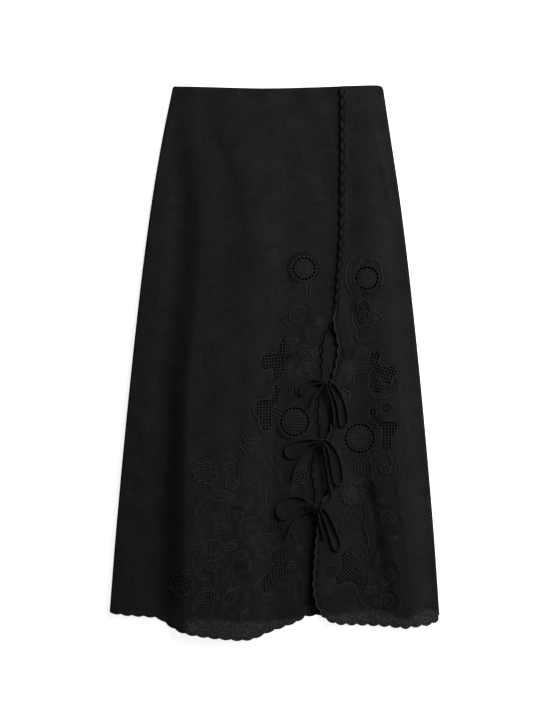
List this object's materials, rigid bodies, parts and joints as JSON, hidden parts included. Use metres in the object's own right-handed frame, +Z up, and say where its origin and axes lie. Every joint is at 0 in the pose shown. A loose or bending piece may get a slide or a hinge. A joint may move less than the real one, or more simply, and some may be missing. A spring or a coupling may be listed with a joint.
{
  "type": "a-line skirt",
  "caption": "Flat-laid midi skirt with a lapped front, scalloped hem and slit, cutwork rings and tied tube bows.",
  "frame": {"origin": "middle of the bounding box at the underside of the back panel, where the skirt rests", "axes": "+Y from the hem to the waist, +X to the viewer's right, +Z up out of the front"},
  "size_m": [0.5271, 0.8879, 0.0204],
  "materials": {
    "linen": "matt plain-weave linen with slubs, near black",
    "tie_tube": "turned tube of the same linen, matt",
    "thread": "mercerised embroidery thread, satin, near black"
  },
  "bodies": {
    "root": {"back_panel": "linen", "front_left_panel": "linen", "front_right_panel": "linen", "bow1_knot": "tie_tube", "bow1_loop_left": "tie_tube", "bow1_loop_right": "tie_tube", "bow1_tail_left": "tie_tube", "bow1_tail_right": "tie_tube", "bow2_knot": "tie_tube", "bow2_loop_left": "tie_tube", "bow2_loop_right": "tie_tube", "bow2_tail_left": "tie_tube", "bow2_tail_right": "tie_tube", "bow3_knot": "tie_tube", "bow3_loop_left": "tie_tube", "bow3_loop_right": "tie_tube", "bow3_tail_left": "tie_tube", "bow3_tail_right": "tie_tube"}
  },
  "joints": []
}
